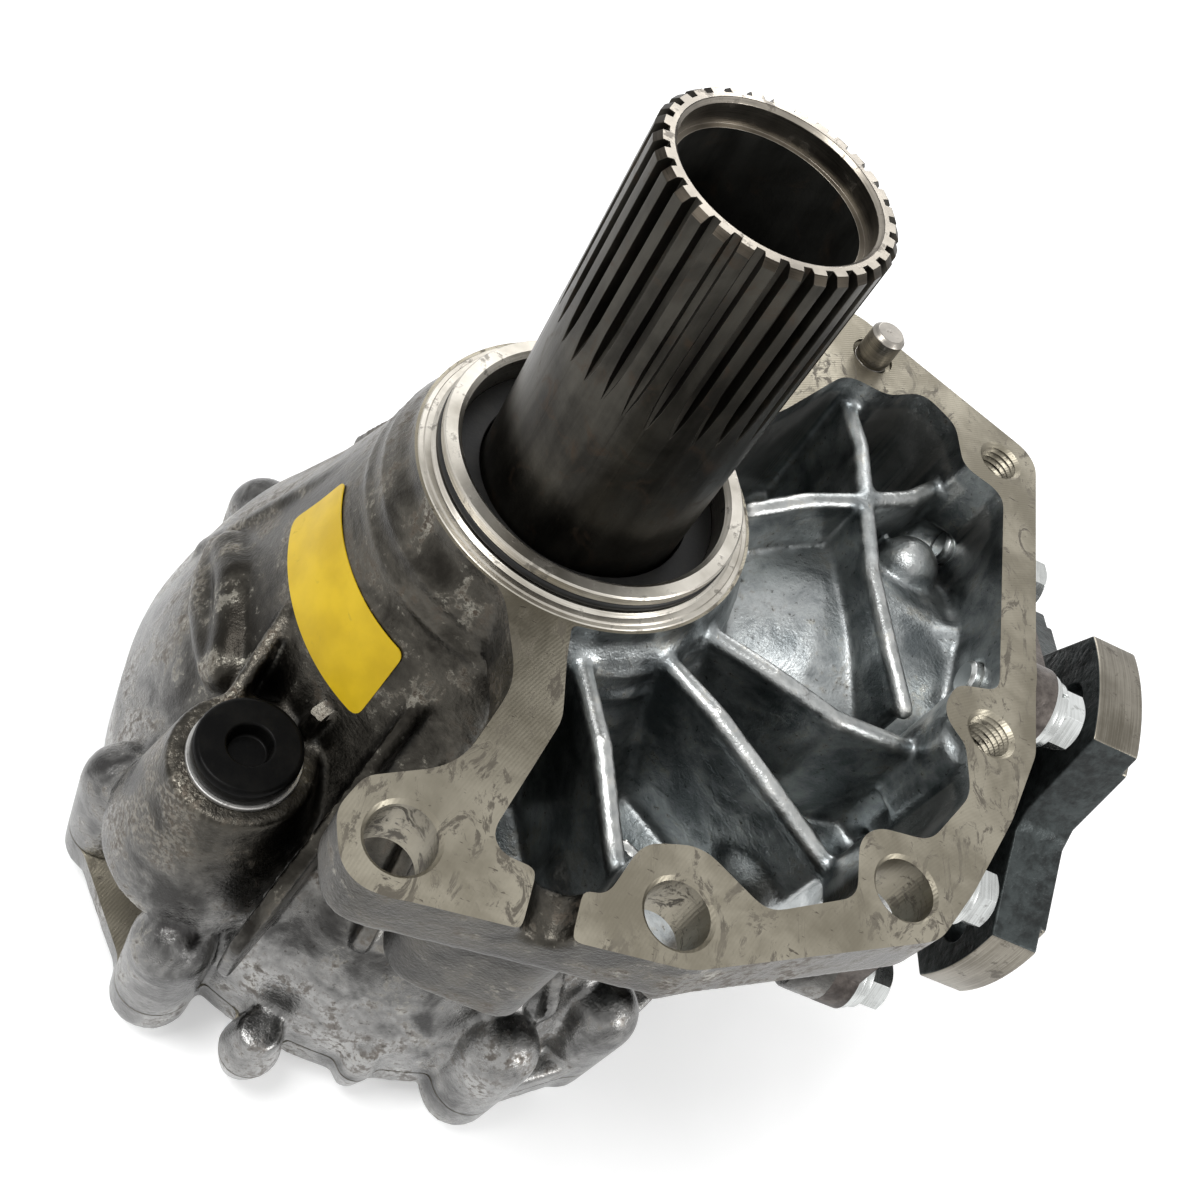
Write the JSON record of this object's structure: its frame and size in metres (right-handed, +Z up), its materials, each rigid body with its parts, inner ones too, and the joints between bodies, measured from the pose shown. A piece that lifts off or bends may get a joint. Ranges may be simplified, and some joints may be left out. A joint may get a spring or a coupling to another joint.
{
  "type": "transfer case",
  "caption": "Vehicle transfer case: hollow splined input shaft, open ribbed mounting flange, bell housing and right-angle output with a four-arm companion flange.",
  "frame": {"origin": "the point where the input shaft's axis meets the plane of the machined mounting face", "axes": "+Z runs up the input shaft, out of the mounting face; +X runs out along the output shaft; +Y completes the right-handed frame"},
  "size_m": [0.258, 0.2167, 0.2454],
  "materials": {
    "case_casting": "as-cast, satin, machined faces",
    "cover_casting": "as-cast, satin",
    "gasket": "matt fibre",
    "bolt_zinc": "zinc plated, satin",
    "black_rubber": "matt",
    "seal_black": "matt",
    "pin_steel": "ground",
    "plug_black": "satin black",
    "soft_washer": "soft, matt",
    "plug_steel": "satin",
    "sticker_yellow": "satin print film, blank",
    "shaft_steel": "dark oiled steel",
    "gear_steel": "ground and oiled",
    "bearing_steel": "polished",
    "cage_steel": "pressed",
    "retainer_iron": "rough, dark",
    "flange_iron": "forged, dark, turned rim",
    "deflector_steel": "pressed sheet",
    "nut_steel": "satin"
  },
  "bodies": {
    "case": {"main_case": "case_casting", "end_cover": "cover_casting", "cover_gasket": "gasket", "cover_bolts": "bolt_zinc", "retainer_bolts": "bolt_zinc", "retainer_flat_washers": "bolt_zinc", "retainer_spring_washers": "bolt_zinc", "spigot_o_ring": "black_rubber", "retainer_o_ring": "black_rubber", "input_oil_seal": "seal_black", "cover_oil_seal": "seal_black", "pinion_oil_seal": "seal_black", "dowel_pin": "pin_steel", "filler_plug": "plug_black", "breather": "plug_black", "filler_washer": "soft_washer", "drain_washer": "soft_washer", "upper_shim": "soft_washer", "drain_plug": "plug_steel", "blank_label": "sticker_yellow", "upper_bearing_cup": "bearing_steel", "lower_bearing_cup": "bearing_steel", "head_bearing_cup": "bearing_steel", "tail_bearing_cup": "bearing_steel", "pinion_retainer": "retainer_iron"},
    "input_rotor": {"input_shaft": "shaft_steel", "ring_gear": "gear_steel", "ring_gear_bolts": "gear_steel", "upper_bearing_cone": "bearing_steel", "lower_bearing_cone": "bearing_steel"},
    "output_rotor": {"pinion_shaft": "gear_steel", "head_bearing_cone": "bearing_steel", "tail_bearing_cone": "bearing_steel", "collapsible_spacer": "gear_steel", "companion_flange": "flange_iron", "dust_deflector": "deflector_steel", "flange_washer": "nut_steel", "flange_nut": "nut_steel"},
    "upper_rollers": {"upper_bearing_cage": "cage_steel", "upper_bearing_rollers": "bearing_steel"},
    "lower_rollers": {"lower_bearing_cage": "cage_steel", "lower_bearing_rollers": "bearing_steel"},
    "head_rollers": {"head_bearing_cage": "cage_steel", "head_bearing_rollers": "bearing_steel"},
    "tail_rollers": {"tail_bearing_cage": "cage_steel", "tail_bearing_rollers": "bearing_steel"}
  },
  "joints": [
    {"name": "input_spin", "type": "hinge", "parent": "case", "child": "input_rotor", "pos_m": [0, 0, 0], "axis": [0, 0, 1], "continuous": true},
    {"name": "output_spin", "type": "hinge", "parent": "case", "child": "output_rotor", "pos_m": [0, 0.019, -0.0655], "axis": [1, 0, 0], "continuous": true},
    {"name": "upper_cage_spin", "type": "hinge", "parent": "case", "child": "upper_rollers", "pos_m": [0, 0, -0.029], "axis": [0, 0, 1], "continuous": true},
    {"name": "lower_cage_spin", "type": "hinge", "parent": "case", "child": "lower_rollers", "pos_m": [0, 0, -0.129], "axis": [0, 0, 1], "continuous": true},
    {"name": "head_cage_spin", "type": "hinge", "parent": "case", "child": "head_rollers", "pos_m": [0.086, 0.019, -0.0655], "axis": [1, 0, 0], "continuous": true},
    {"name": "tail_cage_spin", "type": "hinge", "parent": "case", "child": "tail_rollers", "pos_m": [0.1135, 0.019, -0.0655], "axis": [1, 0, 0], "continuous": true}
  ],
  "couplings": [
    {"joint": "output_spin", "follows": "input_spin", "ratio": 2.3846},
    {"joint": "upper_cage_spin", "follows": "input_spin", "ratio": 0.45155},
    {"joint": "lower_cage_spin", "follows": "input_spin", "ratio": 0.45155},
    {"joint": "head_cage_spin", "follows": "input_spin", "ratio": 1.0144},
    {"joint": "tail_cage_spin", "follows": "input_spin", "ratio": 1.0172}
  ]
}
